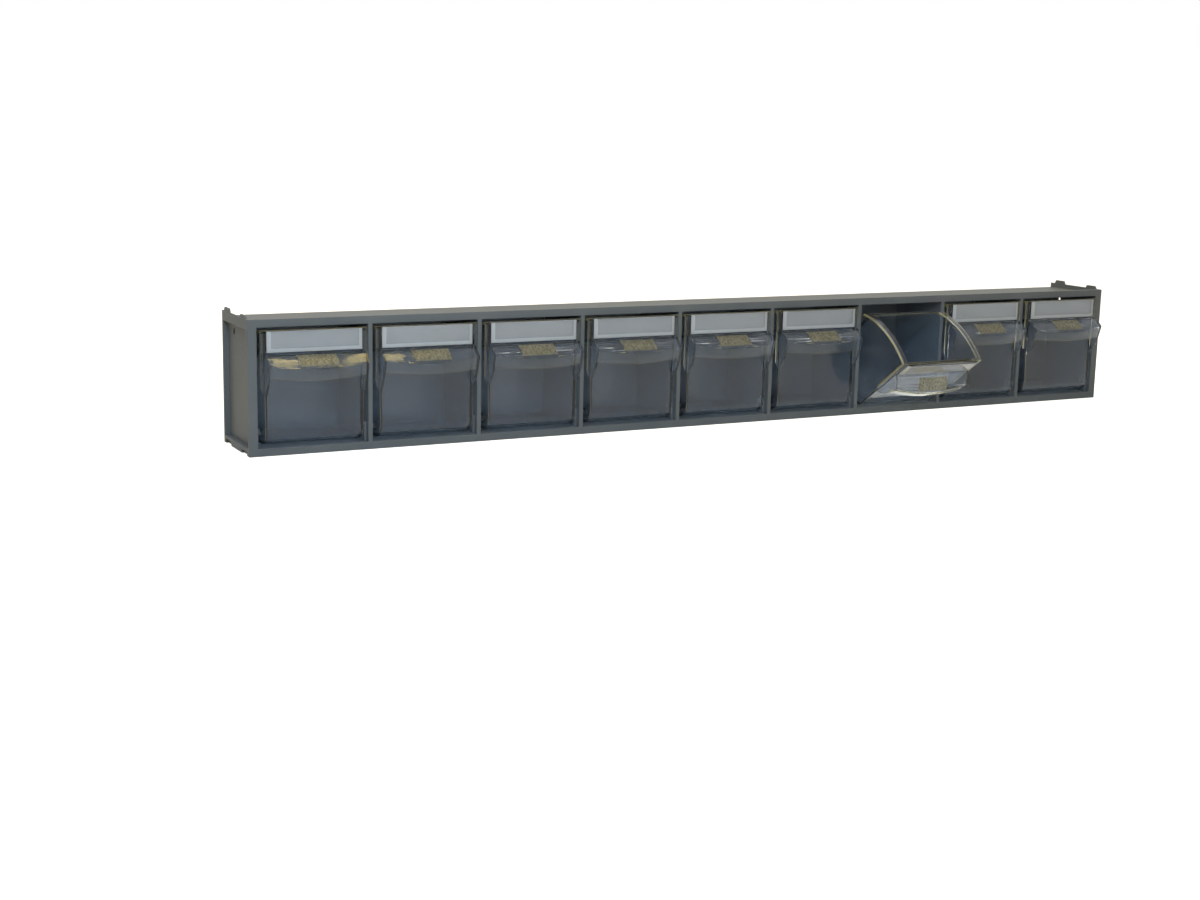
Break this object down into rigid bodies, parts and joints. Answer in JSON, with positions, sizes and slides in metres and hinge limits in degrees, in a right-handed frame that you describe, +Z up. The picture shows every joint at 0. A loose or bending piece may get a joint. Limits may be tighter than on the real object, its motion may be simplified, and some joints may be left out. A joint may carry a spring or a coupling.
{
  "type": "parts bin cabinet",
  "caption": "Long, low cabinet with a row of clear bins for small parts; each bin tips out of its bay on two pins and has a pull hood and a label card.",
  "frame": {"origin": "middle of the housing's underside, midway between its front plane and its back and between its ends", "axes": "+X along the cabinet to the right as seen from the front, +Y from the front to the back, +Z up"},
  "size_m": [0.6, 0.0964, 0.0774],
  "materials": {
    "housing_plastic": "satin moulded grey polystyrene with a light moulding grain",
    "clear_plastic": "clear glossy polystyrene with a faint smoky tint",
    "label_card": "matt off-white paper card"
  },
  "bodies": {
    "cabinet": {"housing": "housing_plastic"},
    "tip_bin_1": {"bin_1": "clear_plastic", "label_1": "label_card"},
    "tip_bin_2": {"bin_2": "clear_plastic", "label_2": "label_card"},
    "tip_bin_3": {"bin_3": "clear_plastic", "label_3": "label_card"},
    "tip_bin_4": {"bin_4": "clear_plastic", "label_4": "label_card"},
    "tip_bin_5": {"bin_5": "clear_plastic", "label_5": "label_card"},
    "tip_bin_6": {"bin_6": "clear_plastic", "label_6": "label_card"},
    "tip_bin_7": {"bin_7": "clear_plastic", "label_7": "label_card"},
    "tip_bin_8": {"bin_8": "clear_plastic", "label_8": "label_card"},
    "tip_bin_9": {"bin_9": "clear_plastic", "label_9": "label_card"}
  },
  "joints": [
    {"name": "bin_1_tip", "type": "hinge", "parent": "cabinet", "child": "tip_bin_1", "pos_m": [-0.26338, -0.0192, 0.0124], "axis": [1, 0, 0], "range_deg": [0, 55]},
    {"name": "bin_2_tip", "type": "hinge", "parent": "cabinet", "child": "tip_bin_2", "pos_m": [-0.19753, -0.0192, 0.0124], "axis": [1, 0, 0], "range_deg": [0, 55]},
    {"name": "bin_3_tip", "type": "hinge", "parent": "cabinet", "child": "tip_bin_3", "pos_m": [-0.13169, -0.0192, 0.0124], "axis": [1, 0, 0], "range_deg": [0, 55]},
    {"name": "bin_4_tip", "type": "hinge", "parent": "cabinet", "child": "tip_bin_4", "pos_m": [-0.06584, -0.0192, 0.0124], "axis": [1, 0, 0], "range_deg": [0, 55]},
    {"name": "bin_5_tip", "type": "hinge", "parent": "cabinet", "child": "tip_bin_5", "pos_m": [0, -0.0192, 0.0124], "axis": [1, 0, 0], "range_deg": [0, 55]},
    {"name": "bin_6_tip", "type": "hinge", "parent": "cabinet", "child": "tip_bin_6", "pos_m": [0.06584, -0.0192, 0.0124], "axis": [1, 0, 0], "range_deg": [0, 55]},
    {"name": "bin_7_tip", "type": "hinge", "parent": "cabinet", "child": "tip_bin_7", "pos_m": [0.13169, -0.0192, 0.0124], "axis": [1, 0, 0], "range_deg": [-55, 0]},
    {"name": "bin_8_tip", "type": "hinge", "parent": "cabinet", "child": "tip_bin_8", "pos_m": [0.19753, -0.0192, 0.0124], "axis": [1, 0, 0], "range_deg": [0, 55]},
    {"name": "bin_9_tip", "type": "hinge", "parent": "cabinet", "child": "tip_bin_9", "pos_m": [0.26338, -0.0192, 0.0124], "axis": [1, 0, 0], "range_deg": [0, 55]}
  ]
}
